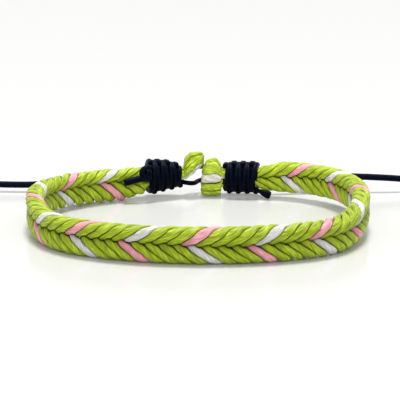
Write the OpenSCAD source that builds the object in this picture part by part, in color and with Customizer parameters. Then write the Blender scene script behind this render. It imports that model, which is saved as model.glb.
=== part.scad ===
// A woven bracelet: nine waxed cords braided into a flat herringbone band, closed into a loop.
// Two black cords are wrapped round the band's ends, and their free ends pull the loop tighter.
// Millimetres. The loop lies on Z = 0, its front at minus Y, and its closing at the back, plus Y.

/* [Loop] */
// Mean distance from the middle of the loop to the middle of the band
loop_r = 29.3; // [24:0.1:36]
// How much wider than deep the loop is pulled
loop_oval = 2.9; // [0:0.1:4]

/* [Band] */
// Height of the braided band
band_h = 6.5; // [5:0.02:9]
// Thickness of the braided band
band_t = 3.6; // [2.8:0.05:5]
// Length of band from one strand to the next
strand_pitch = 2.44; // [2:0.02:3]
// Sides of a strand's section
strand_sides = 6; // [6:1:8]

/* [Closing] */
// Length of each black wrap
wrap_len = 8.1; // [6:0.1:12]
// Outer radius of a wrap
wrap_r = 3.35; // [3.2:0.05:4.5]
// Radius of the passage through a wrap
bore_r = 2.45; // [2.4:0.05:3]
// Turns that show on a wrap
wrap_turns = 4; // [3:1:8]
// Sides of a wrap's section
wrap_sides = 16; // [12:1:24]
// Thickness of the black cord in a wrap, where it is pressed
cord_d = 1; // [0.8:0.05:1.2]
// Thickness of a pull cord where it runs free
free_d = 1.4; // [1:0.05:1.5]

/* [Hidden] */

LIME = [0.62, 0.73, 0.16];
WHITE = [0.88, 0.88, 0.84];
PINK = [0.92, 0.60, 0.64];
BLACK = [0.06, 0.06, 0.09];

// The loop's middle line is a rounded oval with blunt corners. Each row adds one wave to the
// loop's reach in a direction: [waves per turn, cosine part, sine part].
waves = [
    [2, loop_oval, 0.34],
    [3, -0.66, 0.16],
    [4, -0.86, -0.14],
    [5, 0.06, 0.18],
];
function sum(v, i = 0) = i < len(v) ? v[i] + sum(v, i + 1) : 0;
function reach(a) = loop_r + sum([for (w = waves) w[1] * cos(w[0] * a) + w[2] * sin(w[0] * a)]);
function turn(a) = sum([for (w = waves) w[0] * (w[2] * cos(w[0] * a) - w[1] * sin(w[0] * a))]);
function spot(a) = [
    reach(a) * cos(a) - turn(a) * sin(a),
    reach(a) * sin(a) + turn(a) * cos(a),
];
// Length along the loop, zero at the front and growing anticlockwise from above
function run(a) = loop_r * a * PI / 180 + sum([for (w = waves)
    (1 - w[0] * w[0]) / w[0] * (w[1] * sin(w[0] * a) - w[2] * cos(w[0] * a))]);
run_front = run(-91);
runs = [for (a = [-300:2:120]) [run(a) - run_front, a]];
function angle_at(s) = lookup(s, runs);

// How the band lies along the loop. It rests on the table at the front and at the back left, is
// squeezed where it goes through the wraps, and its ends fan out in the gap between them. The
// last column is how much higher than usual the upper and lower strands meet.
// [length along the loop, thickness factor, height factor, outward shift, lift, twist in
// degrees, height of the meeting line]
lie = [
    [-92.4, 1.00, 0.42, 0, 4.5, -55, 0],
    [-91.2, 1.05, 0.46, 0, 4.35, -52, 0],
    [-89.6, 1.12, 0.76, -0.1, 3.75, -45, 0],
    [-88.35, 1.00, 0.76, -0.3, 2.95, -40, 0],
    [-87.85, 0.64, 0.42, -0.45, 1.8, -36, 0],
    [-80.2, 0.90, 0.60, -0.5, 1.25, 0, 0],
    [-78.7, 0.95, 0.88, -0.4, 0.6, 0, 0.3],
    [-74.5, 1.00, 1.03, 0, 0.15, 0, 0.5],
    [-60, 1.00, 1.04, 0, 0.45, 0, 0.15],
    [-46, 1.00, 1.00, 0, 1.05, 0, 0.1],
    [-30, 1.00, 1.00, 0, 0, 0, 0],
    [-15, 1.00, 1.00, 0, 0, 0, 0.1],
    [5, 1.00, 1.00, 0, 0, 0, -0.35],
    [24, 1.00, 1.00, 0, 0, 0, 0],
    [45, 1.00, 1.00, 0, 1.55, 0, 0],
    [69, 1.00, 1.00, 0, 1.4, 0, 0.1],
    [74, 1.00, 1.00, 0, 1.25, 0, 0],
    [79, 0.95, 0.82, -0.4, 0.9, 0, 0],
    [80.5, 0.90, 0.60, -0.5, 0.8, 0, 0],
    [88, 0.90, 0.60, -0.5, 0.75, 0, -0.4],
    [88.25, 1.00, 1.03, -0.35, 0.4, 0, -0.5],
    [89.2, 1.05, 1.09, -0.25, 0.85, 0, -0.75],
    [92.4, 1.10, 1.00, 0, 0.6, 0, -0.75],
];
function clamped(t) = min(1, max(0, t));
function ease(t) = t * t * (3 - 2 * t);
function row_at(s, i = 0) = i >= len(lie) - 2 || s < lie[i + 1][0] ? i : row_at(s, i + 1);
function lie_at(s) =
    let (i = row_at(s), a = lie[i], b = lie[i + 1])
    let (t = ease(clamped((s - a[0]) / (b[0] - a[0]))))
    a * (1 - t) + b * t;

// A point in the band: s along the loop, r outward from its middle line, z above the table.
// The origin is under the middle of the bracelet's box.
middle = [-0.6, 0.79];
function at(s, r, z) =
    let (a = angle_at(s), c = spot(a) - middle)
    [c[0] + r * cos(a), c[1] + r * sin(a), z];
// Height of the band's middle line where it lies on the table
mid_z = band_h / 2 + 0.005;
// The band's ends are cut shorter at both edges on the left, and at the top on the right
stub_left = -92.4;
stub_right = 92.4;
function trimmed(s, z) = s + 1.6 * clamped((stub_left + 3 - s) / 3) * pow(z / 3.25, 2)
    - 1.2 * clamped((s - stub_right + 3) / 3) * pow(clamped(z / 3.25), 2);
// In the right end the white strand spreads out and pushes the others up and down
function spread(s, z) = 0.45 * clamped((s - 88) / 1.2) * (2 * clamped((z - 0.24) / 1.2) - 1);
function in_band(s0, p) =
    let (s = trimmed(s0, p[1]), f = lie_at(s), x = p[0] * f[1])
    let (z = (p[1] + spread(s, p[1]) + f[6] * clamped(1 - pow(p[1] / 3.25, 2))) * f[2])
    at(s, x * cos(f[5]) - z * sin(f[5]) + f[3], x * sin(f[5]) + z * cos(f[5]) + mid_z + f[4]);

// The braid. Seen along the band, each strand runs round a figure of eight: up the outer face,
// over the edge, down the inner face, through the middle, down the outer face and back up.
strands = 9;
swing_z = 2.52;
swing_r = 0.95;
// How quickly a strand dives through the middle, and how straight it runs on a face
dive = 1.8;
straight = 0.98;
// How far above the band's middle height the strands cross
vee_rise = 0.4;
period = strands * strand_pitch;
// Where the white strand starts up the outer face
white_start = -14.42 * strand_pitch;
// The nine strands stop braiding inside the wraps and run on side by side
braid_from = -85.4;
braid_to = 86.1;
// Braiding by hand is never quite even: how far the pattern runs late along the loop
late = [
    [-80, 0.35], [-69, 0.35], [-58, 0], [-48, 0.3], [-35, 0.75], [-24, 0.15], [-13, -0.4],
    [-2, -0.3], [8, 0.15], [19, -0.2], [31, -0.9], [51, -0.3], [62, 0.45], [74, 0.5],
    [80, 1.4],
];
function tanh(x) = (exp(2 * x) - 1) / (exp(2 * x) + 1);
function track(p) = [
    swing_r * tanh(dive * sin(2 * p)) / tanh(dive),
    swing_z * asin(straight * sin(p)) / asin(straight) + vee_rise * pow(cos(p), 2),
];
function track_dir(p) =
    let (v = track(p + 1) - track(p - 1))
    v / norm(v);

// A strand's section fills its share of the band: each corner stops halfway to the nearest
// other strand, less a gap, and at the band's rounded outline.
function gap_to(k, crossing) =
    k == 1 || k == 8 ? 0.215 : k == 4 || k == 5 ? (crossing ? 0.22 : 0.18) : 0.04;
function halfway(c, d, p, k, crossing) =
    let (v = track(p + k * 360 / strands) - c)
    let (w = v * d)
    w > 0.000001 ? (v * v / 2 - gap_to(k, crossing) * norm(v)) / w : 9;
function outline(c, d) =
    let (t = band_t / 2, h = band_h * 0.57)
    let (a = pow(d[0] / t, 2) + pow(d[1] / h, 2))
    let (b = 2 * (c[0] * d[0] / t / t + c[1] * d[1] / h / h))
    let (e = pow(c[0] / t, 2) + pow(c[1] / h, 2) - 1)
    min((-b + sqrt(max(0, b * b - 4 * a * e))) / (2 * a),
        abs(d[1]) > 0.000001 ? (band_h / 2 - c[1] * sign(d[1])) / abs(d[1]) : 9);
function section(p) =
    let (c = track(p), t = track_dir(p), n = [-t[1], t[0]])
    let (off = abs(((p + 90) % 180 + 180) % 180 - 90), crossing = off < 35)
    [for (j = [0:strand_sides - 1])
        let (a = 360 * (j + 0.5) / strand_sides)
        let (d = t * cos(a) + n * sin(a))
        let (share = min([for (k = [1:strands - 1]) halfway(c, d, p, k, crossing)]))
        c + d * min(share, outline(c, d), 0.9 * abs(cos(a)) + abs(sin(a)))];

// Phases at which a strand has a ring, closest where it crosses the others in the middle
half_rings = [-36, -18, 0, 18, 36, 72, 108];
function phase_at(s, k) =
    let (held = min(braid_to, max(braid_from, s)))
    360 * (held - lookup(held, late) - white_start) / period - k * 360 / strands;
function ring_runs(k) = [for (m = [-10:17], p = half_rings)
    let (even = white_start + k * strand_pitch + (m / 2 + p / 360) * period)
    let (s = even + lookup(even + lookup(even, late), late))
    if (s > braid_from + 0.25 && s < braid_to - 0.25) s];
function strand_runs(k) = concat(
    [stub_left, -91.2, -89.6, -88.35, -87.85, braid_from], ring_runs(k),
    [braid_to, 88, 88.25, 89.2, stub_right - 1.6, stub_right]);

// A solid from rings of points in order, closed at both ends
module skin(rings) {
    m = len(rings[0]);
    n = len(rings);
    polyhedron(
        points = [for (r = rings, q = r) q],
        faces = concat(
            [for (i = [0:n - 2], j = [0:m - 1])
                [i * m + j, i * m + (j + 1) % m, (i + 1) * m + j]],
            [for (i = [0:n - 2], j = [0:m - 1])
                [i * m + (j + 1) % m, (i + 1) * m + (j + 1) % m, (i + 1) * m + j]],
            [[for (j = [m - 1:-1:0]) j]],
            [[for (j = [0:m - 1]) (n - 1) * m + j]]
        )
    );
}

// Strand k of the braid starts k strand pitches after the white one
module strand(k) {
    skin([for (s = strand_runs(k))
        [for (q = section(phase_at(s, k))) in_band(s, q)]]);
}

module strand_white() color(WHITE) strand(0);
module strand_pink() color(PINK) strand(4);
module strand_green_1() color(LIME) strand(1);
module strand_green_2() color(LIME) strand(2);
module strand_green_3() color(LIME) strand(3);
module strand_green_4() color(LIME) strand(5);
module strand_green_5() color(LIME) strand(6);
module strand_green_6() color(LIME) strand(7);
module strand_green_7() color(LIME) strand(8);

// A round cord through route points, with a smooth bend at each. The frame never twists, since
// no cord here runs straight up.
function bend(a, b, c, d, t) = 0.5 * (2 * b + (c - a) * t + (2 * a - 5 * b + 4 * c - d) * t * t
    + (3 * b - a - 3 * c + d) * t * t * t);
function smooth(v, n) = concat(
    [for (i = [0:len(v) - 2], j = [0:n - 1])
        bend(v[max(0, i - 1)], v[i], v[i + 1], v[min(len(v) - 1, i + 2)], j / n)],
    [v[len(v) - 1]]);
function unit(v) = v / norm(v);
// r is one radius, or one for each point of the path.
module tube(path, r, sides = 8) {
    n = len(path);
    skin([for (i = [0:n - 1])
        let (t = unit(path[min(n - 1, i + 1)] - path[max(0, i - 1)]))
        let (side = unit(cross(t, [0, 0, 1])), up = cross(side, t))
        [for (j = [0:sides - 1])
            let (a = 360 * (j + 0.5) / sides)
            path[i] + (is_list(r) ? r[i] : r) * (side * cos(a) + up * sin(a))]]);
}

// One black wrap: a ridged barrel round the band, from s0 to s0 + wrap_len, whose middle line
// follows the band's lift. taper is how much smaller the barrel is at s0, where it also hangs
// a little lower.
function wrap_row(s0, u, taper) =
    let (f = u * wrap_turns - floor(u * wrap_turns))
    [s0 + u * wrap_len, wrap_r * (1 - 0.14 * pow(abs(2 * f - 1), 2.5))
        - taper * pow(1 - u, 2)];
module wrap(s0, taper) {
    step = [0.02, 0.3, 0.7];
    outer = concat(
        [for (i = [0:wrap_turns - 1], t = step) wrap_row(s0, (i + t) / wrap_turns, taper)],
        [wrap_row(s0, 0.9999, taper)]);
    rows = concat(outer, [[s0 + wrap_len, bore_r], [s0, bore_r - 0.5 * taper]]);
    n = len(rows);
    m = wrap_sides;
    polyhedron(
        points = [for (q = rows, j = [0:m - 1])
            let (a = 360 * j / m)
            let (drop = 0.7 * taper * pow(1 - (q[0] - s0) / wrap_len, 2))
            at(q[0], q[1] * cos(a), q[1] * sin(a) + mid_z + lie_at(q[0])[4] - drop)],
        faces = [for (i = [0:n - 1], j = [0:m - 1], h = [0, 1])
            let (a = i * m + j, b = i * m + (j + 1) % m)
            let (c = (i + 1) % n * m + j, d = (i + 1) % n * m + (j + 1) % m)
            h == 0 ? [a, b, c] : [b, d, c]]
    );
}

// Beside the left wrap lie a small tight knot of its cord and a thick cut tail, beside the right
// one a cut tail with a thick end. They lie on the inner side of the band.
knob_left = [
    at(-80.4, -2.3, 6.8), at(-79.4, -2.7, 7.05), at(-78.5, -2.95, 6.75), at(-78.1, -3.1, 6),
    at(-78.6, -3.3, 5.35), at(-79.5, -3.35, 5.4),
];
tail_left = [
    at(-80.2, -3.1, 5), at(-78.4, -3.2, 5.05), at(-76.1, -2.95, 4.65), at(-74, -2.7, 4.2),
];
tail_right = [
    at(80.8, -1.9, 2), at(79.7, -2.5, 1.75), at(78.4, -2.75, 1.35), at(76.9, -2.8, 0.9),
];

module knot_left() color(BLACK) union() {
    wrap(-87.85, 0.9);
    hull() for (p = knob_left) translate(p) sphere(d = 1.3, $fn = 8);
    tube(smooth(tail_left, 2), cord_d * 0.75);
}

module knot_right() color(BLACK) union() {
    wrap(79.85, 0);
    tube(smooth(tail_right, 2), cord_d * 0.45);
    hull() {
        translate(tail_right[2]) sphere(d = 1.2, $fn = 8);
        translate(tail_right[3]) sphere(d = 1.7, $fn = 8);
    }
}

// Each pull cord starts at the far wrap, crosses the gap, passes through its own wrap on the
// band's outer side and runs straight out, sinking until the knot at its end lies on the table
route_left = [
    at(-95.9, 2.75, 5.1), at(-92.6, 3.4, 5.5), at(-90, 3.1, 5.45), at(-88.5, 1.85, 5.15),
    at(-87, 1.2, 4.85), at(-83.5, 1.5, 4.7), at(-79.3, 1.72, 4.5),
    [-15.3, 25.3, 4.1], [-21.3, 26.4, 3.1], [-29.3, 27.35, 2.05], [-37.3, 27.95, 1.55],
    [-45.3, 28.35, 1.6], [-52.3, 28.65, 1.62],
];
route_right = [
    at(97.2, 0.3, 3.15), at(96.2, -0.1, 3), at(95, -0.8, 2.9), at(93.7, 0.6, 2.6),
    at(92.6, 2.75, 2.6), at(90.2, 2.75, 3.2), at(88.2, 1.9, 3.8), at(84.5, 1.68, 4), at(80, 1.75, 4.05),
    [17.7, 26.45, 3.95], [25.7, 27.2, 3.7], [34.7, 27.85, 3.35], [43.2, 28.15, 2.85],
    [48.4, 28.35, 2.05], [53.4, 28.55, 1.64],
];
// A cord swells just behind point k of its route, where it comes out of its wrap
function swelling(path, k) = [for (i = [0:len(path) - 1])
    (cord_d + (free_d - cord_d) * clamped((i - 2 * k) / 3)) / 2];
module pull_cord(route, k) let (path = smooth(route, 2)) tube(path, swelling(path, k));
module pull_cord_left() color(BLACK) pull_cord(route_left, 6);
module pull_cord_right() color(BLACK) pull_cord(route_right, 8);

// The knot tied in a pull cord's end, which keeps the cord from slipping through its wrap, and
// the cord's cut tail. Each row is a ring: [distance past the cord's end, radius, drop].
knot_rings = [
    [0.04, 0.65, 0], [0.45, 1.35, 0], [1.2, 1.65, 0], [2.1, 1.5, 0], [2.7, 0.75, 0.15],
    [4.3, 0.65, 0.7],
];
module end_knot(path, sides = 8) {
    n = len(path);
    t = unit(path[n - 1] - path[n - 2]);
    side = unit(cross(t, [0, 0, 1]));
    up = cross(side, t);
    skin([for (q = knot_rings) [for (j = [0:sides - 1])
        let (a = 360 * (j + 0.5) / sides)
        path[n - 1] + q[0] * t + q[1] * (side * cos(a) + up * sin(a)) - [0, 0, q[2]]]]);
}
module end_knot_left() color(BLACK) end_knot(smooth(route_left, 2));
module end_knot_right() color(BLACK) end_knot(smooth(route_right, 2));

strand_white();
strand_pink();
strand_green_1();
strand_green_2();
strand_green_3();
strand_green_4();
strand_green_5();
strand_green_6();
strand_green_7();
knot_left();
knot_right();
pull_cord_left();
pull_cord_right();
end_knot_left();
end_knot_right();
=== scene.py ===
"""The looks of a braided cord bracelet: a herringbone band, two knotted wraps and two pull cords.

Lengths in the classes are millimetres, as in the part's own source, and every mesh is made in
metres in the part's frame: the loop lies on Z = 0, its front at minus Y, its closing at plus Y.
"""

import logging
import math
from dataclasses import dataclass, field
from enum import Enum
from typing import Any

import bmesh
import bpy
import numpy as np
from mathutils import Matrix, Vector


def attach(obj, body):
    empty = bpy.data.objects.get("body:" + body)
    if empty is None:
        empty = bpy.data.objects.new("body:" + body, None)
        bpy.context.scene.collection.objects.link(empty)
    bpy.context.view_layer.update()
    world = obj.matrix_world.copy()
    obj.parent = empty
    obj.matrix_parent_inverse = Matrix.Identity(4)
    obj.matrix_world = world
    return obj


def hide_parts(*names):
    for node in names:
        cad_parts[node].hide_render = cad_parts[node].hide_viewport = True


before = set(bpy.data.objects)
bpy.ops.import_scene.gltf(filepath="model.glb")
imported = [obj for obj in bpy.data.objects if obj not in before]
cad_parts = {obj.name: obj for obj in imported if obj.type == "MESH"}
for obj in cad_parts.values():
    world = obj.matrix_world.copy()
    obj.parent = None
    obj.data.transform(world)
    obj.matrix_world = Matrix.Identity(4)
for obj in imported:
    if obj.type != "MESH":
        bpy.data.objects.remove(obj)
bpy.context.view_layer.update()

LOG = logging.getLogger("bracelet")
MM = 0.001
BODY = "root"
# Points of a tube that lie closer than this, in metres, become one
WELD = 1e-7
# A cut end's share of the cord's thickness, what it gains, and over how many radiuses
CUT_SHARE, CUT_GAIN, CUT_OVER = 0.8, 0.2, 0.35

# A point, or three numbers that belong together
Triple = tuple[float, float, float]


class Side(Enum):
    """The two ends of the band, seen from the front."""

    LEFT = "left"
    RIGHT = "right"


# Colour and shader helpers


def linear(hex_colour: str) -> tuple[float, float, float, float]:
    """Turns an sRGB hex value into the linear colour that a shader socket takes.

    Args:
        hex_colour: Six hex digits, such as "A8BE2E".

    Returns:
        Red, green, blue and an alpha of 1, all linear.
    """
    parts = [int(hex_colour[i : i + 2], 16) / 255 for i in (0, 2, 4)]
    done = [c / 12.92 if c <= 0.04045 else ((c + 0.055) / 1.055) ** 2.4 for c in parts]
    return (done[0], done[1], done[2], 1.0)


def add_node(
    tree: bpy.types.NodeTree, kind: str, settings: dict[str, Any], inputs: dict[Any, Any]
) -> bpy.types.Node:
    """Adds one shader node with its settings, its input values and its links.

    Args:
        tree: The node tree that takes it.
        kind: The node's type without its "ShaderNode" start.
        settings: Properties of the node itself.
        inputs: Input sockets by name or number, each with a value or with the socket to link.

    Returns:
        The new node.
    """
    made = tree.nodes.new("ShaderNode" + kind)
    for name, value in settings.items():
        setattr(made, name, value)
    for name, value in inputs.items():
        if isinstance(value, bpy.types.NodeSocket):
            tree.links.new(value, made.inputs[name])
        else:
            made.inputs[name].default_value = value
    return made


@dataclass(frozen=True)
class CordFinish:
    """Waxed twisted cotton cord. Fibres run along it in a slow twist, and wax gives a soft sheen.

    The pattern reads the cord's own UV map, in millimetres along the cord and round it. A pattern
    is as wide as its fibres, and drawn out along them: the smaller its share, the longer it is.
    """

    name: str
    slot: str
    light: str
    mid: str
    dark: str
    # Places of the dark, middle and light colours on the ramp of the streaks
    stops: Triple = (0.30, 0.5, 0.72)
    fibre_mm: float = 0.40
    fibre_share: float = 0.12
    streak_mm: float = 0.36
    streak_share: float = 0.16
    # How far round the cord the fibres run for each millimetre along it
    twist: float = 0.34
    roughness: float = 0.52
    specular: float = 0.35
    specular_tint: str = "FFFFFF"
    sheen: float = 0.08
    sheen_roughness: float = 0.4
    relief_mm: float = 0.09
    relief_strength: float = 0.7
    # Brightness from the fibres and from slow clouds along the cord, at its least and its most
    fibre_range: tuple[float, float] = (0.3, 0.72)
    fibre_shade: tuple[float, float] = (0.62, 1.24)
    cloud_mm: float = 1 / 0.22
    cloud_range: tuple[float, float] = (0.3, 0.7)
    cloud_shade: tuple[float, float] = (0.92, 1.06)
    # Painted shade: the colour is darker in the creases of the braid, where less light gets in,
    # and richer there, as light bounced between the strands would make it
    crease_shade: float = 0.28
    painted_crease_richness: float = 1.3

    def material(self) -> bpy.types.Material:
        """Builds the cord's material, once for all the pieces that share it.

        Returns:
            The material.
        """
        made = bpy.data.materials.get(self.name)
        if made is not None:
            return made
        made = bpy.data.materials.new(self.name)
        made.use_nodes = True
        tree = made.node_tree
        tree.nodes.clear()
        run = add_node(tree, "UVMap", {"uv_map": "run"}, {}).outputs[0]
        spun = self.add_twist(tree, run)
        streak = self.add_grain(
            tree, spun, self.streak_mm, self.streak_share, {"Scale": 1.0, "Detail": 2.0}
        )
        fibre = self.add_grain(
            tree, spun, self.fibre_mm, self.fibre_share,
            {"Scale": 1.6, "Detail": 3.0, "Roughness": 0.6},
        )
        ramp = add_node(tree, "ValToRGB", {}, {0: streak})
        stops = ramp.color_ramp.elements
        stops[0].position, stops[0].color = self.stops[0], linear(self.dark)
        stops[1].position, stops[1].color = self.stops[2], linear(self.light)
        stops.new(self.stops[1]).color = linear(self.mid)
        cloud = add_node(
            tree, "TexNoise", {}, {"Vector": run, "Scale": 1 / self.cloud_mm, "Detail": 1.0}
        )
        # Painted shade: the crease attribute darkens the colour and makes it richer deep in the
        # braid's creases
        crease = add_node(tree, "Attribute", {"attribute_name": "crease"}, {}).outputs["Fac"]
        factors = []
        for value, source, target in (
            (fibre, self.fibre_range, self.fibre_shade),
            (cloud.outputs[0], self.cloud_range, self.cloud_shade),
            (crease, (0.0, 1.0), (1.0, self.crease_shade)),
            (crease, (0.0, 1.0), (1.0, self.painted_crease_richness)),
        ):
            ends = {0: value, 1: source[0], 2: source[1], 3: target[0], 4: target[1]}
            factors.append(add_node(tree, "MapRange", {}, ends).outputs[0])
        fibres, clouds, creases, rich = factors
        times = {"operation": "MULTIPLY"}
        grain = add_node(tree, "Math", times, {0: fibres, 1: clouds}).outputs[0]
        shade = add_node(tree, "Math", times, {0: grain, 1: creases}).outputs[0]
        colour = add_node(
            tree, "HueSaturation", {},
            {"Saturation": rich, "Value": shade, "Color": ramp.outputs[0]},
        )
        relief = {
            "Strength": self.relief_strength, "Distance": self.relief_mm * MM, "Height": fibre,
        }
        surface = {
            "Base Color": colour.outputs[0],
            "Roughness": self.roughness,
            "Specular IOR Level": self.specular,
            "Specular Tint": linear(self.specular_tint),
            "Sheen Weight": self.sheen,
            "Sheen Roughness": self.sheen_roughness,
            "Normal": add_node(tree, "Bump", {}, relief).outputs[0],
        }
        shader = add_node(tree, "BsdfPrincipled", {}, surface)
        add_node(tree, "OutputMaterial", {}, {0: shader.outputs[0]})
        return made

    def add_twist(
        self, tree: bpy.types.NodeTree, run: bpy.types.NodeSocket
    ) -> bpy.types.NodeSocket:
        """Turns places on the cord into places along and across its twisted fibres.

        Args:
            tree: The material's node tree.
            run: The socket with the place along the cord and round it.

        Returns:
            The socket with the place along the cord and across the fibres.
        """
        split = add_node(tree, "SeparateXYZ", {}, {0: run})
        along, around = split.outputs[0], split.outputs[1]
        slant = add_node(
            tree, "Math", {"operation": "MULTIPLY_ADD"}, {0: along, 1: self.twist, 2: around}
        )
        return add_node(tree, "CombineXYZ", {}, {0: along, 1: slant.outputs[0]}).outputs[0]

    def add_grain(
        self,
        tree: bpy.types.NodeTree,
        spun: bpy.types.NodeSocket,
        width: float,
        share: float,
        noise: dict[str, float],
    ) -> bpy.types.NodeSocket:
        """Adds noise that is drawn out along the fibres.

        Args:
            tree: The material's node tree.
            spun: The socket with the place along the cord and across the fibres.
            width: The grain's width in millimetres.
            share: How much finer or coarser it is along the cord than across it.
            noise: The noise's own values.

        Returns:
            The socket with the noise.
        """
        place = add_node(tree, "Mapping", {}, {0: spun, "Scale": (share / width, 1 / width, 1)})
        return add_node(tree, "TexNoise", {}, {"Vector": place.outputs[0], **noise}).outputs[0]


LIME = CordFinish("waxed_lime_cotton", "lime_cord", "D0DE46", "A6BD20", "7B940A")
WHITE = CordFinish("waxed_white_cotton", "white_cord", "F0EFEA", "DEDDD6", "C6C4BC")
PINK = CordFinish("waxed_pink_cotton", "pink_cord", "F7BBC2", "EFA7B0", "DF8F9A")
BLACK = CordFinish(
    "waxed_black_cord", "black_cord", "040914", "02040C", "010104",
    roughness=0.45, specular=0.09, specular_tint="90B4FF", sheen=0.0,
)


# The loop that the band follows


@dataclass(frozen=True)
class Loop:
    """The line that the band's middle follows, and how the band lies along it."""

    mean_radius: float = 29.3
    # The loop's departures from a circle: waves round it, and their two sizes
    waves: tuple[tuple[int, float, float], ...] = (
        (2, 2.9, 0.34), (3, -0.66, 0.16), (4, -0.86, -0.14), (5, 0.06, 0.18),
    )
    # The middle of the part's box, seen from the loop's own middle
    middle: tuple[float, float] = (-0.6, 0.79)
    # The direction of the front, from which lengths along the loop are counted
    front_angle: float = math.radians(-91)
    # Height of the band's middle where it lies on the table: half the band's height, and a hair
    mid_z: float = 6.5 / 2 + 0.005
    # Directions at which lengths are worked out, in degrees: the first, past the last, the step
    directions: Triple = (-300, 120.5, 0.5)
    # Length along the loop, thickness factor, height factor, outward shift, lift, twist and how
    # much higher than usual the line lies at which the upper and lower strands meet
    lie_rows: tuple[tuple[float, ...], ...] = (
        (-92.4, 1.00, 0.42, 0, 4.5, -55, 0),
        (-91.2, 1.05, 0.46, 0, 4.35, -52, 0),
        (-89.6, 1.12, 0.76, -0.1, 3.75, -45, 0),
        (-88.35, 1.00, 0.76, -0.3, 2.95, -40, 0),
        (-87.85, 0.64, 0.42, -0.45, 1.8, -36, 0),
        (-80.2, 0.90, 0.60, -0.5, 1.25, 0, 0),
        (-78.7, 0.95, 0.88, -0.4, 0.6, 0, 0.3),
        (-74.5, 1.00, 1.03, 0, 0.15, 0, 0.5),
        (-60, 1.00, 1.04, 0, 0.45, 0, 0.15),
        (-46, 1.00, 1.00, 0, 1.05, 0, 0.1),
        (-30, 1.00, 1.00, 0, 0, 0, 0),
        (-15, 1.00, 1.00, 0, 0, 0, 0.1),
        (5, 1.00, 1.00, 0, 0, 0, -0.35),
        (24, 1.00, 1.00, 0, 0, 0, 0),
        (45, 1.00, 1.00, 0, 1.55, 0, 0),
        (69, 1.00, 1.00, 0, 1.4, 0, 0.1),
        (74, 1.00, 1.00, 0, 1.25, 0, 0),
        (79, 0.95, 0.82, -0.4, 0.9, 0, 0),
        (80.5, 0.90, 0.60, -0.5, 0.8, 0, 0),
        (88, 0.90, 0.60, -0.5, 0.75, 0, -0.4),
        (88.25, 1.00, 1.03, -0.35, 0.4, 0, -0.5),
        (89.2, 1.05, 1.09, -0.25, 0.85, 0, -0.75),
        (92.4, 1.10, 1.00, 0, 0.6, 0, -0.75),
    )

    def angle_at(self, s: np.ndarray) -> np.ndarray:
        """Gives the direction from the loop's middle at lengths along it.

        Args:
            s: Lengths along the loop from its front.

        Returns:
            The directions, in radians.
        """
        a = np.radians(np.arange(*self.directions))
        run = self.mean_radius * a
        front = self.mean_radius * self.front_angle
        for n, c, d in self.waves:
            part = (1 - n * n) / n
            turned = n * self.front_angle
            run = run + part * (c * np.sin(n * a) - d * np.cos(n * a))
            front += part * (c * math.sin(turned) - d * math.cos(turned))
        return np.interp(s, run - front, a)

    def at(self, s: np.ndarray, r: np.ndarray, z: np.ndarray) -> np.ndarray:
        """Gives points in the part's frame.

        Args:
            s: Length along the loop from its front, anticlockwise from above.
            r: Distance outward from the band's middle line.
            z: Height above the table.

        Returns:
            An array of points, in millimetres, with one more axis than the arguments.
        """
        a = self.angle_at(np.asarray(s, float))
        waves = self.waves
        reach = self.mean_radius + sum(c * np.cos(n * a) + d * np.sin(n * a) for n, c, d in waves)
        turn = sum(n * (d * np.cos(n * a) - c * np.sin(n * a)) for n, c, d in waves)
        x = reach * np.cos(a) - turn * np.sin(a) - self.middle[0]
        y = reach * np.sin(a) + turn * np.cos(a) - self.middle[1]
        return np.stack(np.broadcast_arrays(x + r * np.cos(a), y + r * np.sin(a), z), axis=-1)

    def lie_at(self, s: np.ndarray) -> np.ndarray:
        """Gives how the band lies at lengths along the loop, eased from row to row.

        Args:
            s: Lengths along the loop from its front.

        Returns:
            For each length, the columns of lie_rows after the first.
        """
        rows = np.array(self.lie_rows)
        i = np.clip(np.searchsorted(rows[:, 0], s, side="right") - 1, 0, len(rows) - 2)
        a, b = rows[i], rows[i + 1]
        t = np.clip((s - a[..., 0]) / (b[..., 0] - a[..., 0]), 0, 1)
        t = (t * t * (3 - 2 * t))[..., None]
        return (a * (1 - t) + b * t)[..., 1:]


# Mesh helpers


def linked(name: str, data: bpy.types.ID) -> bpy.types.Object:
    """Makes an object of a mesh, a light or a camera and links it to the scene.

    Args:
        name: The new object's name.
        data: What it shows.

    Returns:
        The new object.
    """
    made = bpy.data.objects.new(name, data)
    bpy.context.scene.collection.objects.link(made)
    return made


def finished(name: str, bm: bmesh.types.BMesh) -> bpy.types.Object:
    """Makes a linked object of mesh data under edit, and frees the data.

    Args:
        name: The new object's name.
        bm: The mesh data.

    Returns:
        The new object.
    """
    mesh = bpy.data.meshes.new(name)
    bm.to_mesh(mesh)
    bm.free()
    return linked(name, mesh)


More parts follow.
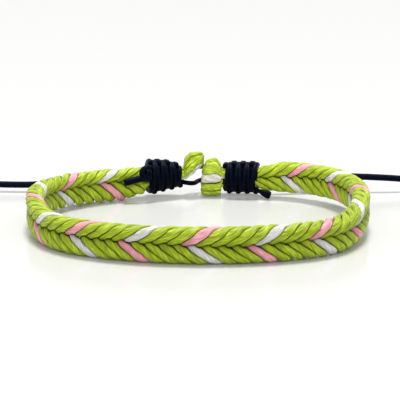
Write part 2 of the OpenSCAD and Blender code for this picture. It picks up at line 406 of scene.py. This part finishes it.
def sweep(
    name: str,
    rings: np.ndarray,
    along: np.ndarray,
    around: float,
    shift: float = 0.0,
    crease: np.ndarray | None = None,
) -> bpy.types.Object:
    """Makes a closed tube from rings of points, with a UV map "run" in millimetres.

    Args:
        name: The new piece's name.
        rings: Points in millimetres, one row for each ring, whose last point meets its first.
        along: Length along the tube at each ring.
        around: The tube's girth, which the map's second axis runs over.
        shift: Added to the map's first axis, so that equal cords don't share one pattern.
        crease: How deep in a crease each point lies, 0 to 1, from which the material paints
        shade. None for a cord that has no creases.

    Returns:
        The new piece, linked to the scene.
    """
    n, m = rings.shape[:2]
    bm = bmesh.new()
    bm.loops.layers.uv.new("run")
    bmesh.ops.create_grid(bm, x_segments=m - 1, y_segments=n - 1, size=0.5, calc_uvs=True)
    bm.verts.ensure_lookup_table()
    uv = bm.loops.layers.uv.active
    # Painted shade: each point's depth in the braid's creases, which the material paints darker
    deep = bm.verts.layers.float.new("crease")
    if crease is not None:
        for vert, value in zip(bm.verts, crease.reshape(-1)):
            vert[deep] = value
    for vert, place in zip(bm.verts, rings.reshape(-1, 3) * MM):
        row, column = divmod(vert.index, m)
        for loop in vert.link_loops:
            loop[uv].uv = (along[row] + shift, around * column / (m - 1))
        vert.co = place
    bmesh.ops.remove_doubles(bm, verts=bm.verts, dist=WELD)
    rims = [e for e in bm.edges if e.is_boundary]
    bmesh.ops.holes_fill(bm, edges=rims, sides=0)
    bmesh.ops.recalc_face_normals(bm, faces=bm.faces)
    for face in bm.faces:
        face.smooth = True
    return finished(name, bm)


def unit(v: np.ndarray) -> np.ndarray:
    """Scales vectors on the last axis to a length of one."""
    return v / np.maximum(np.linalg.norm(v, axis=-1, keepdims=True), 1e-12)


def lengths(path: np.ndarray) -> np.ndarray:
    """Gives the length along a path at each of its points."""
    return np.concatenate([[0], np.cumsum(np.linalg.norm(np.diff(path, axis=0), axis=1))])


def smooth_route(points: np.ndarray, parts: int) -> np.ndarray:
    """Runs a smooth line through route points, as the part's source does.

    Args:
        points: The route's points.
        parts: Steps from each point to the next.

    Returns:
        The points on the line.
    """
    p = np.vstack([points[:1], points, points[-1:]])
    out = []
    for i in range(len(points) - 1):
        a, b, c, d = p[i : i + 4]
        for j in range(parts):
            t = j / parts
            out.append(
                0.5 * (2 * b + (c - a) * t + (2 * a - 5 * b + 4 * c - d) * t**2
                       + (3 * b - a - 3 * c + d) * t**3)
            )
    return np.array(out + [points[-1]])


def round_rings(path: np.ndarray, radius: np.ndarray, sides: int) -> np.ndarray:
    """Puts a circle round each point of a path, without twist from one to the next.

    Args:
        path: The path's points.
        radius: The circle's radius at each point.
        sides: How many sides each circle has.

    Returns:
        The rings, each with its first point repeated at its end.
    """
    way = unit(np.gradient(path, axis=0))
    side = np.cross(way[0], [0.0, 0.0, 1.0])
    # A path that starts straight up or down has no side to the upright
    if np.linalg.norm(side) < 0.1:
        side = np.cross(way[0], [0.0, 1.0, 0.0])
    a = np.linspace(0, 2 * math.pi, sides + 1)
    rings = []
    for place, t, r in zip(path, way, radius):
        side = unit(side - t * np.dot(side, t))
        up = np.cross(side, t)
        rings.append(place + r * (np.cos(a)[:, None] * side + np.sin(a)[:, None] * up))
    return np.array(rings)


def cut_ends(path: np.ndarray, radius: float) -> np.ndarray:
    """Rounds a cord a little towards its two cut ends.

    Args:
        path: The cord's path.
        radius: Its radius elsewhere.

    Returns:
        The radius at each of the path's points.
    """
    run = lengths(path)
    to_end = np.minimum(run, run[-1] - run)
    gained = CUT_GAIN * np.sqrt(to_end / (CUT_OVER * radius))
    return radius * np.clip(CUT_SHARE + gained, CUT_SHARE, 1)


def dress(piece: bpy.types.Object, finish: CordFinish, *nodes: str) -> bpy.types.Object:
    """Gives a piece its finish, lets it ride on the body and stand for its solids.

    Args:
        piece: The piece.
        finish: Its finish, whose material the piece takes.
        nodes: The names of the solids that it replaces.

    Returns:
        The piece.
    """
    piece.data.materials.append(finish.material())
    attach(piece, BODY)
    if nodes:
        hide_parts(*nodes)
    return piece


# The braid


# The strands that aren't lime: the piece, its finish and the solid that it replaces
COLOURED = {
    0: ("white_strand", WHITE, "strand_white"),
    4: ("pink_strand", PINK, "strand_pink"),
}


@dataclass(frozen=True)
class Braid:
    """Nine cords braided flat. Seen along the band, each runs round a figure of eight."""

    loop: Loop
    # How many strands there are, and the length of band from one to the next
    strands: int = 9
    pitch: float = 2.44
    # How far a strand swings up and outward from the band's middle
    swing_z: float = 2.52
    swing_r: float = 0.95
    # How quickly a strand dives through the band's middle, and how straight it runs on a face
    dive: float = 1.8
    straight: float = 0.98
    # How far above the band's middle height the strands cross
    vee_rise: float = 0.4
    # Where along the loop the white strand starts its round, as a number of pitches
    white_start: float = -14.42 * 2.44
    # Lengths along the loop at which the braiding starts and ends, and at which the band is cut
    braid_from: float = -85.4
    braid_to: float = 86.1
    stub_left: float = -92.4
    stub_right: float = 92.4
    # How much shorter the band is cut at its edges on the left and at its top on the right, and
    # over what length this pulls the strands back
    trim_left: float = 1.6
    trim_right: float = 1.2
    trim_over: float = 3.0
    # Half the band's height
    half_height: float = 3.25
    # In the right end the strands part up and down at a height, so that the white one lies wide:
    # how far they part, past which length, at which height, and over how much of both
    spread: float = 0.45
    spread_from: float = 88.0
    spread_above: float = 0.24
    spread_over: float = 1.2
    # How far the braid's pattern runs late, in rows of length along the loop and distance
    drift_rows: tuple[tuple[float, float], ...] = (
        (-80, 0.35), (-69, 0.35), (-58, 0), (-48, 0.3), (-35, 0.75), (-24, 0.15), (-13, -0.4),
        (-2, -0.3), (8, 0.15), (19, -0.2), (31, -0.9), (51, -0.3), (62, 0.45), (74, 0.5),
        (80, 1.4),
    )
    # A cut end is rounded over this length: its share of the full size, and what it gains
    dome: float = 0.7
    dome_share: float = 0.55
    dome_gain: float = 0.45
    # Length from ring to ring, and how many rays give a ring its points
    step: float = 0.22
    rays: int = 30
    # How much closer the rays lie on the side that shows
    ray_bias: float = 0.42
    # A cord pressed in the braid is wide along its track and a little thinner across it
    half_wide: float = 1.05
    half_thick: float = 0.76
    # What a strand gains in size where it dives, as a share, and how short that stretch is
    dive_gain: float = -0.12
    dive_power: int = 6
    # How far short of halfway to a neighbour a strand stops, and how sharply its own outline
    # and its neighbours bound it
    gap: float = 0.03
    roundness: float = 6.0
    sharpness: float = 24.0
    # How deep the crease between two strands is on a face, what a dive adds to it, the depth of
    # the dive itself, the share of all this that is left in the fanned ends, and how far to each
    # side of the braid's end it takes to fade. The material paints shade by this depth.
    crease_face: float = 0.35
    crease_added: float = 0.65
    crease_dive: float = 0.5
    crease_stub: float = 0.15
    crease_fade: float = 1.0
    # The wander of hand work: its size up and outward, the least share of it that a wave has,
    # the lengths of its waves and where it fades out
    wander: float = 0.05
    wander_outward: float = 0.6
    wander_least: float = 0.3
    wander_waves: Triple = (5.3, 8.1, 13.7)
    wander_fade: float = 6.0
    wander_seed: int = 11
    # The least height above the table
    table: float = 0.01
    # The pattern's girth, and how far it is moved on from strand to strand
    girth: float = 4.7
    pattern_shift: float = 300.0

    def stations(self) -> np.ndarray:
        """Gives the lengths along the loop at which every strand has a ring."""
        n = round((self.stub_right - self.stub_left) / self.step)
        return np.linspace(self.stub_left, self.stub_right, n + 1)

    def phases(self, s: np.ndarray) -> np.ndarray:
        """Gives how far each strand has come round its figure of eight.

        Args:
            s: The stations.

        Returns:
            The phases, in radians, one row for each strand.
        """
        held = np.clip(s, self.braid_from, self.braid_to)
        held = held - np.interp(held, *np.array(self.drift_rows).T)
        first = 2 * math.pi * (held - self.white_start) / (self.strands * self.pitch)
        return first[None] - 2 * math.pi * np.arange(self.strands)[:, None] / self.strands

    def track(self, p: np.ndarray) -> np.ndarray:
        """Gives a strand's place across the band.

        Args:
            p: Phases, in radians.

        Returns:
            The place outward and up at each phase.
        """
        out = np.tanh(self.dive * np.sin(2 * p)) / math.tanh(self.dive)
        up = np.arcsin(self.straight * np.sin(p)) / math.asin(self.straight)
        rise = self.vee_rise * np.cos(p) ** 2
        return np.stack([self.swing_r * out, self.swing_z * up + rise], axis=-1)

    def centres(self, s: np.ndarray) -> np.ndarray:
        """Gives every strand's middle at each station, with the small wander of hand work.

        Args:
            s: The stations.

        Returns:
            The places outward and up, by strand and station.
        """
        made = self.track(self.phases(s))
        draw = np.random.default_rng(self.wander_seed)
        come_in = np.clip((s - self.braid_from) / self.wander_fade, 0, 1)
        inside = come_in * np.clip((self.braid_to - s) / self.wander_fade, 0, 1)
        for k in range(self.strands):
            for axis in (0, 1):
                for wave in self.wander_waves:
                    turn = draw.uniform(0, 2 * math.pi)
                    size = self.wander * draw.uniform(self.wander_least, 1.0)
                    size *= self.wander_outward if axis == 0 else 1.0
                    made[k, :, axis] += inside * size * np.sin(2 * math.pi * s / wave + turn)
        return made

    def sections(self, s: np.ndarray, k: int) -> tuple[np.ndarray, np.ndarray]:
        """Gives strand k's pressed outline at each station, outward and up in the band.

        Each ray from the strand's middle stops softly at the first of: halfway to another
        strand, and the cord's own rounded outline.

        Args:
            s: The stations.
            k: Which strand.

        Returns:
            One closed ring of points for each station, its seam on the side inside the band, and
            how deep in a crease of the braid each point lies, 0 to 1, which sets the painted
            shade.
        """
        centres = self.centres(s)
        own = centres[k]
        p = self.phases(s)[k]
        way = unit(self.track(p + 0.01) - self.track(p - 0.01))
        inward = np.stack([-way[:, 1], way[:, 0]], axis=-1)
        turn = np.linspace(0, 1, self.rays + 1)
        a = math.pi / 2 + 2 * math.pi * turn + self.ray_bias * np.sin(2 * math.pi * turn)
        ray = (way[:, None] * np.cos(a)[None, :, None]
               + inward[:, None] * np.sin(a)[None, :, None])
        size = 1 + self.dive_gain * np.cos(p)[:, None] ** self.dive_power
        round_off = (np.cos(a) / self.half_wide) ** 2 + (np.sin(a) / self.half_thick) ** 2
        cord = round_off**0.5 / size
        pressed = np.zeros(ray.shape[:2])
        for j in range(self.strands):
            if j == k:
                continue
            v = centres[j] - own
            far = np.linalg.norm(v, axis=-1)
            toward = np.einsum("nmi,ni->nm", ray, v)
            stop = (far**2 / 2 - self.gap * far)[:, None]
            pressed += np.where(toward > 1e-6, toward / stop, 0) ** self.sharpness
        held = pressed ** (self.roundness / self.sharpness)
        total = cord**self.roundness + held
        # Painted shade: the deeper a point lies in a crease, the darker the material paints it
        dive = np.abs(np.cos(p))[:, None] ** self.dive_power
        beside = held / total * (self.crease_face + self.crease_added * dive)
        crease = np.clip(beside + self.crease_dive * dive, 0, 1)
        for inside in (self.braid_to - s, s - self.braid_from):
            left = (inside + self.crease_fade) / (2 * self.crease_fade)
            crease *= np.clip(left, self.crease_stub, 1)[:, None]
        return own[:, None] + ray * (total ** (-1 / self.roundness))[..., None], crease

    def place(self, s: np.ndarray, across: np.ndarray) -> np.ndarray:
        """Puts points of the band's section in the part's frame, as the band lies there.

        Args:
            s: The stations.
            across: Rings of points, outward and up in the band, one for each station.

        Returns:
            The rings in the part's frame, in millimetres.
        """
        over = self.trim_over
        high = across[..., 1] / self.half_height
        left = np.clip((self.stub_left + over - s) / over, 0, 1)[:, None] * self.trim_left
        right = np.clip((s - self.stub_right + over) / over, 0, 1)[:, None] * self.trim_right
        s = s[:, None] + left * high**2 - right * np.clip(high, 0, 1) ** 2
        f = self.loop.lie_at(s)
        above = np.clip((high * self.half_height - self.spread_above) / self.spread_over, 0, 1)
        spread = np.clip((s - self.spread_from) / self.spread_over, 0, 1) * (2 * above - 1)
        up = across[..., 1] + self.spread * spread + f[..., 5] * np.clip(1 - high**2, 0, 1)
        x, z = across[..., 0] * f[..., 0], up * f[..., 1]
        c, d = np.cos(np.radians(f[..., 4])), np.sin(np.radians(f[..., 4]))
        # Where the cords lie on the table, it presses them flat
        height = np.maximum(x * d + z * c + self.loop.mid_z + f[..., 3], self.table)
        return self.loop.at(s, x * c - z * d + f[..., 2], height)

    def build(self) -> list[bpy.types.Object]:
        """Builds and dresses the nine strands.

        Returns:
            The strands, in the order of their numbers.
        """
        s = self.stations()
        to_end = np.clip(np.minimum(s - s[0], s[-1] - s) / self.dome, 0, 1)
        shrink = self.dome_share + self.dome_gain * np.sqrt(1 - (1 - to_end) ** 2)
        made = []
        number = 0
        for k in range(self.strands):
            if k in COLOURED:
                name, finish, node = COLOURED[k]
            else:
                number += 1
                name, finish, node = f"lime_strand_{number}", LIME, f"strand_green_{number}"
            across, crease = self.sections(s, k)
            rings = self.place(s, across)
            middle = rings[:, :-1].mean(axis=1, keepdims=True)
            rings = middle + (rings - middle) * shrink[:, None, None]
            run = lengths(middle[:, 0])
            piece = sweep(name, rings, run, self.girth, self.pattern_shift * k, crease)
            made.append(dress(piece, finish, node))
        return made


# The black cords


@dataclass(frozen=True)
class PullCord:
    """A cord that starts in the far wrap, runs through its own wrap and out along the table."""

    loop: Loop
    side: Side
    # The route's points, as in the part's source, which starts the left cord one point later. In
    # the wraps and between them they are lengths along the loop, distances outward and heights.
    # Outside they are in the part's frame.
    held: tuple[Triple, ...]
    free: tuple[Triple, ...]
    # The point of the fine line at which the cord leaves its wrap, and how many it swells over
    swell_from: int
    # How far its pattern is moved along, so that the two cords differ
    pattern_shift: float
    swell_over: int = 15
    # Steps between two points of the route, as in the part's source, and again between those
    route_steps: int = 2
    fine_steps: int = 5
    # Thickness in the wrap, where the cord is pressed, and where it runs free
    pressed: float = 1.0
    diameter: float = 1.4
    sides: int = 16
    # The end knot: its turns, how far they lie out and how long they are in cord thicknesses, and
    # how far past the cord's end they start
    knot_turns: float = 2.1
    knot_reach: float = 0.65
    knot_long: float = 1.75
    knot_starts: float = 0.15
    # The shares of the turns over which they come out of the cord and go back into it, and the
    # power that rounds both
    knot_out: float = 0.1
    knot_back: float = 0.12
    knot_power: float = 0.7
    # How far the turns sway along the cord, and how often in each turn
    knot_sway: float = 0.12
    knot_sways: float = 0.5
    # Steps of the turns, how many of them lie between two points of the knot's path, and steps
    # between two of those points
    knot_steps: int = 90
    knot_stride: int = 3
    knot_fine: int = 3
    # How far the knot's pattern is moved along
    knot_shift: float = 220.0
    # The tail's points past the cord's end: how far along, and how far down
    tail: tuple[tuple[float, float], ...] = ((3.1, -0.25), (3.7, -0.5), (4.3, -0.68))

    def route(self) -> np.ndarray:
        """Gives the route as a smooth line, from inside the far wrap to the end knot."""
        band = [self.loop.at(*row) for row in self.held]
        return smooth_route(np.vstack([np.array(band), np.array(self.free)]), self.route_steps)

    def build(self) -> list[bpy.types.Object]:
        """Returns:
            The cord and the knot.
        """
        fine = smooth_route(self.route(), self.fine_steps)
        free = np.clip((np.arange(len(fine)) - self.swell_from) / self.swell_over, 0, 1)
        radius = (self.pressed + (self.diameter - self.pressed) * free) / 2
        rings = round_rings(fine, radius, self.sides)
        name = f"{self.side.value}_pull_cord"
        run = lengths(fine)
        cord = sweep(name, rings, run, math.pi * self.diameter, self.pattern_shift)
        dress(cord, BLACK, f"pull_cord_{self.side.value}")
        knot = self.build_end_knot(fine)
        return [cord, knot]

    def build_end_knot(self, fine: np.ndarray) -> bpy.types.Object:
        """Builds the knot at the cord's end: two tight turns round the cord, and a cut tail.

        Args:
            fine: The cord's line.

        Returns:
            The knot.
        """
        end = fine[-1]
        way = unit((fine[-1] - fine[-3]) * [1, 1, 0])
        side = unit(np.cross(way, [0.0, 0.0, 1.0]))
        up = np.cross(side, way)
        t = np.linspace(0, 1, self.knot_steps)[:: self.knot_stride]
        turn = 2 * math.pi * self.knot_turns * t
        tucked = np.clip(np.minimum(t / self.knot_out, (1 - t) / self.knot_back), 0, 1)
        out = self.diameter * self.knot_reach * tucked**self.knot_power
        on = self.knot_starts + self.diameter * self.knot_long * t
        on = on + self.knot_sway * np.sin(turn * self.knot_sways)
        coil = (end + on[:, None] * way + (out * np.cos(turn))[:, None] * side
                + (out * np.sin(turn))[:, None] * up)
        tail = np.array([end + way * far + [0, 0, down] for far, down in self.tail])
        path = smooth_route(np.vstack([coil, tail]), self.knot_fine)
        rings = round_rings(path, cut_ends(path, self.diameter / 2), self.sides)
        name = f"{self.side.value}_end_knot"
        piece = sweep(name, rings, lengths(path), math.pi * self.diameter, self.knot_shift)
        return dress(piece, BLACK, f"end_knot_{self.side.value}")


@dataclass(frozen=True)
class Wrap:
    """A flat-knotted wrap: one cord zigzags over the band's inner face, one over its outer face.

    Their turns hook round each other at the band's two edges, as in a row of square knots.
    """

    loop: Loop
    side: Side
    # The two ends of the wrap along the loop
    start: float
    end: float
    # Rows of the share of the way along, how far the cord runs from the middle, and the lift
    profile: tuple[Triple, ...]
    # Loose cord ends: each with its thickness at the wrap, its thickness at the end and its route
    tails: tuple[tuple[float, float, tuple[Triple, ...]], ...]
    knots: int = 4
    cord_thick: float = 1.15
    sides: int = 12
    # How far round the band's edges each knotting cord swings, in degrees, and how far it lies
    # out on the face, what the edge adds and how narrow that edge is
    inner_swing: float = 101.0
    inner_lift: Triple = (0.10, -0.16, 4)
    outer_swing: float = 112.0
    outer_lift: Triple = (0.02, 0.42, 3)
    # How much rounder the turns at the edges are than a plain wave's
    edge_round: float = 0.06
    # The close turns under the knotting cords: how many, how thick, how far in from the knotting
    # cords and how far from the wrap's ends
    turns: int = 9
    turn_thick: float = 0.95
    turn_inset: float = 0.3
    turn_margin: float = 0.6
    # Points of a path on each knot, on each close turn and between two points of a tail
    knot_steps: int = 60
    turn_steps: int = 26
    tail_steps: int = 8
    # How far before the first half knot and past the last one the knotting cords reach
    lead: float = 0.1
    # How far the pattern is moved on from cord to cord
    pattern_shift: float = 60.0

    def along(
        self, s: np.ndarray, on: np.ndarray, angle: np.ndarray, lift: np.ndarray | float
    ) -> np.ndarray:
        """Puts a cord round the wrap's profile.

        Args:
            s: Lengths along the loop.
            on: The share of the way along the wrap at each.
            angle: How far round the band, in radians, from the middle of its inner face.
            lift: How far out of the profile the cord lies.

        Returns:
            The cord's points in millimetres.
        """
        share, reach, raised = np.array(self.profile).T
        reach = np.interp(on, share, reach) + lift
        z = reach * np.sin(angle) + self.loop.mid_z + np.interp(on, share, raised)
        return self.loop.at(s, -reach * np.cos(angle), z)

    def working_cord(self, inner: bool) -> np.ndarray:
        """Gives the path of one of the two knotting cords.

        Args:
            inner: True for the cord over the inner face, which the photo looks at.

        Returns:
            The path's points in millimetres.
        """
        halves = 2 * self.knots
        t = np.linspace(-self.lead, halves - 1 + self.lead, self.knot_steps * self.knots)
        swing = np.cos(math.pi * t)
        flat, added, power = self.inner_lift if inner else self.outer_lift
        lift = flat + added * np.abs(swing) ** power
        if inner:
            angle = math.radians(self.inner_swing) * swing
        else:
            angle = math.pi + math.radians(self.outer_swing) * swing
        on = (t - t[0]) / (t[-1] - t[0]) - self.edge_round * np.sin(2 * math.pi * t) / halves
        on = np.clip(on, 0, 1)
        inset = self.cord_thick / 2
        s = self.start + inset + (self.end - self.start - 2 * inset) * on
        return self.along(s, on, angle, lift)

    def inner_turns(self) -> np.ndarray:
        """Gives the path of the close turns under the knotting cords.

        Returns:
            The path's points in millimetres.
        """
        on = np.linspace(0, 1, self.turn_steps * self.turns)
        margin = self.turn_margin
        s = self.start + margin + (self.end - self.start - 2 * margin) * on
        return self.along(s, on, 2 * math.pi * self.turns * on, -self.turn_inset)

    def build(self) -> bpy.types.Object:
        """Builds the wrap with its cut tail as one piece.

        Returns:
            The wrap.
        """
        name = f"{self.side.value}_wrap"
        thick = self.cord_thick
        runs = [
            (thick, thick, self.working_cord(True)),
            (thick, thick, self.working_cord(False)),
            (self.turn_thick, self.turn_thick, self.inner_turns()),
        ]
        for first, last, tail in self.tails:
            path = smooth_route(self.loop.at(*np.array(tail).T), self.tail_steps)
            runs.append((first, last, path))
        join = bmesh.new()
        for i, (first, last, path) in enumerate(runs):
            # A tail starts to swell after two fifths of its length, and has swollen at four fifths
            on = lengths(path) / lengths(path)[-1]
            radius = (first + (last - first) * np.clip(2.5 * on - 1, 0, 1)) / 2
            rings = round_rings(path, radius * cut_ends(path, 1.0), self.sides)
            shift = self.pattern_shift * i
            part = sweep(f"{name}_{i}", rings, lengths(path), math.pi * thick, shift)
            join.from_mesh(part.data)
            bpy.data.objects.remove(part)
        return dress(finished(name, join), BLACK, f"knot_{self.side.value}")


# The studio


@dataclass(frozen=True)
class FloorFinish:
    """White cast acrylic sheet, polished: a hard and even gloss that mirrors the part softly."""

    name: str = "white_acrylic_sheet"
    colour: str = "D3D3D1"
    roughness: float = 0.18
    specular: float = 0.35

    def material(self) -> bpy.types.Material:
        """Builds the floor's material.

        Returns:
            The material.
        """
        made = bpy.data.materials.new(self.name)
        made.use_nodes = True
        tree = made.node_tree
        tree.nodes.clear()
        surface = {
            "Base Color": linear(self.colour),
            "Roughness": self.roughness,
            "Specular IOR Level": self.specular,
        }
        shader = add_node(tree, "BsdfPrincipled", {}, surface)
        add_node(tree, "OutputMaterial", {}, {0: shader.outputs[0]})
        return made


@dataclass(frozen=True)
class Studio:
    """A glossy pale floor, a wide soft light from above and the camera of the photograph."""

    # A point on the table, and how far from it and how high above it the camera stands
    look_at: tuple[float, float] = (0.39, -0.83)
    distance: float = 240.0
    elevation: float = 14.8
    # The camera points this many degrees above that point
    aim_up: float = 1.187
    lens: float = 111.53
    sensor: float = 36.0
    # The nearest and farthest that the camera sees, and half the floor's side, all in metres
    clip: tuple[float, float] = (0.01, 20.0)
    floor_reach: float = 4.0
    # The floor's finish, and how far it lies under the part
    floor_finish: FloorFinish = FloorFinish()
    floor_drop: float = 0.02
    # The wide light from above: its strength, its width and its turns about X and Y, in degrees
    sun_strength: float = 2.9
    sun_width: float = 14.0
    sun_tilt: tuple[float, float] = (-14.0, 1.5)
    # A narrow strip above the front, which lights only the closing at the back
    strip_power: float = 0.0014
    strip_size: tuple[float, float] = (100.0, 12.0)
    strip_spread: float = 8.0
    strip_at: Triple = (0.0, -83.0, 68.0)
    strip_tilt: float = 60.0
    # The tent's brightness on the camera's side and above and behind, the way from the one to
    # the other, and where on that way it changes
    front_strength: float = 1.1
    world_strength: float = 0.78
    tent_way: Triple = (0.0, 0.5, 0.87)
    tent_range: tuple[float, float] = (-0.15, 0.6)

    def build_camera(self) -> None:
        """Puts the camera where the photograph's was."""
        data = bpy.data.cameras.new("camera")
        data.lens = self.lens
        data.sensor_width = self.sensor
        data.clip_start, data.clip_end = self.clip
        camera = linked("camera", data)
        high = math.radians(self.elevation)
        camera.location = Vector((
            self.look_at[0], self.look_at[1] - self.distance * math.cos(high),
            self.distance * math.sin(high),
        )) * MM
        camera.rotation_euler = (math.pi / 2 - math.radians(self.elevation - self.aim_up), 0, 0)
        bpy.context.scene.camera = camera

    def build_floor(self) -> None:
        """Lays a glossy white floor that fills the view."""
        bm = bmesh.new()
        bmesh.ops.create_grid(bm, x_segments=1, y_segments=1, size=self.floor_reach)
        floor = finished("floor", bm)
        floor.location.z = -self.floor_drop * MM
        floor.data.materials.append(self.floor_finish.material())

    def build_lights(self) -> None:
        """Adds the wide light from above and the strip for the closing."""
        data = bpy.data.lights.new("softbox", "SUN")
        data.energy = self.sun_strength
        data.angle = math.radians(self.sun_width)
        light = linked("softbox", data)
        light.rotation_euler = (*(math.radians(turn) for turn in self.sun_tilt), 0)
        data = bpy.data.lights.new("strip", "AREA")
        data.shape = "RECTANGLE"
        data.size, data.size_y = (size * MM for size in self.strip_size)
        data.spread = math.radians(self.strip_spread)
        data.energy = self.strip_power
        light = linked("strip", data)
        light.location = Vector(self.strip_at) * MM
        light.rotation_euler = (math.radians(self.strip_tilt), 0, 0)

    def build_tent(self) -> None:
        """Adds the white surroundings."""
        world = bpy.data.worlds.new("white_tent")
        world.use_nodes = True
        tree = world.node_tree
        tree.nodes.clear()
        way = add_node(tree, "TexCoord", {}, {}).outputs["Generated"]
        toward = add_node(
            tree, "VectorMath", {"operation": "DOT_PRODUCT"}, {0: way, 1: self.tent_way}
        )
        ends = {
            0: toward.outputs["Value"], 1: self.tent_range[0], 2: self.tent_range[1],
            3: self.front_strength, 4: self.world_strength,
        }
        glow = add_node(tree, "MapRange", {"interpolation_type": "SMOOTHSTEP"}, ends)
        back = add_node(tree, "Background", {}, {0: linear("FFFFFF"), 1: glow.outputs[0]})
        add_node(tree, "OutputWorld", {}, {0: back.outputs[0]})
        bpy.context.scene.world = world

    def build(self) -> None:
        """Builds the whole studio."""
        self.build_camera()
        self.build_floor()
        self.build_lights()
        self.build_tent()
        bpy.context.scene.view_settings.view_transform = "Standard"


# The bracelet


@dataclass(frozen=True)
class Bracelet:
    """The whole piece of jewellery."""

    loop: Loop = field(default_factory=Loop)

    def pull_cords(self) -> list[PullCord]:
        """Gives the two pull cords with their routes.

        Returns:
            The left and the right cord.
        """
        left = PullCord(
            self.loop, Side.LEFT,
            held=(
                (-97.3, 2.15, 4.75), (-95.9, 2.75, 5.1), (-92.6, 3.4, 5.5), (-90, 3.1, 5.45),
                (-88.5, 1.85, 5.15), (-87, 1.2, 4.85), (-83.5, 1.5, 4.7), (-79.3, 1.72, 4.5),
            ),
            free=(
                (-15.3, 25.3, 4.1), (-21.3, 26.4, 3.1), (-29.3, 27.35, 2.05),
                (-37.3, 27.95, 1.55), (-45.3, 28.35, 1.6), (-52.3, 28.65, 1.62),
            ),
            swell_from=70,
            pattern_shift=40.0,
        )
        right = PullCord(
            self.loop, Side.RIGHT,
            held=(
                (97.2, 0.3, 3.15), (96.2, -0.1, 3), (95, -0.8, 2.9), (93.7, 0.6, 2.6),
                (92.6, 2.75, 2.6), (90.2, 2.75, 3.2), (88.2, 1.9, 3.8), (84.5, 1.68, 4),
                (80, 1.75, 4.05),
            ),
            free=(
                (17.7, 26.45, 3.95), (25.7, 27.2, 3.7), (34.7, 27.85, 3.35),
                (43.2, 28.15, 2.85), (48.4, 28.35, 2.05), (53.4, 28.55, 1.64),
            ),
            swell_from=80,
            pattern_shift=140.0,
        )
        return [left, right]

    def wraps(self) -> list[Wrap]:
        """Gives the two wraps with their profiles and their tails.

        Returns:
            The left and the right wrap.
        """
        left = Wrap(
            self.loop, Side.LEFT, -87.85, -79.75,
            profile=((0, 1.55, 1.1), (0.15, 2.05, 1.35), (0.5, 2.6, 1.55), (1, 3.05, 1.3)),
            tails=(
                (1.3, 1.3, (
                    (-80.4, -2.3, 6.8), (-79.4, -2.7, 7.05), (-78.5, -2.95, 6.75),
                    (-78.1, -3.1, 6.0), (-78.6, -3.3, 5.35), (-79.5, -3.35, 5.4),
                    (-79.6, -3.3, 6.1), (-78.9, -3.3, 6.2),
                )),
                (1.5, 1.5, (
                    (-80.2, -3.1, 5), (-78.4, -3.2, 5.05), (-76.1, -2.95, 4.65),
                    (-74.0, -2.7, 4.2),
                )),
            ),
        )
        right = Wrap(
            self.loop, Side.RIGHT, 79.85, 87.95,
            profile=((0, 2.7, 0.85), (0.8, 2.7, 0.8), (1, 2.4, 0.7)),
            tails=(
                (0.9, 1.7, (
                    (80.8, -1.9, 2), (79.7, -2.5, 1.75), (78.4, -2.75, 1.35), (76.9, -2.8, 0.9),
                )),
            ),
        )
        return [left, right]

    def build(self) -> list[bpy.types.Object]:
        """Builds the cords first, then the braid and the wraps.

        Returns:
            All the pieces.
        """
        pieces = []
        for cord in self.pull_cords():
            pieces += cord.build()
        pieces += Braid(self.loop).build()
        for wrap in self.wraps():
            pieces.append(wrap.build())
        return pieces


def main() -> None:
    """Builds the camera and the cords first, then the rest, and reports each piece."""
    logging.basicConfig(level=logging.INFO, format="%(name)s %(message)s")
    Studio().build()
    for piece in Bracelet().build():
        LOG.info("%s: %d faces", piece.name, len(piece.data.polygons))


if __name__ == "__main__":
    main()
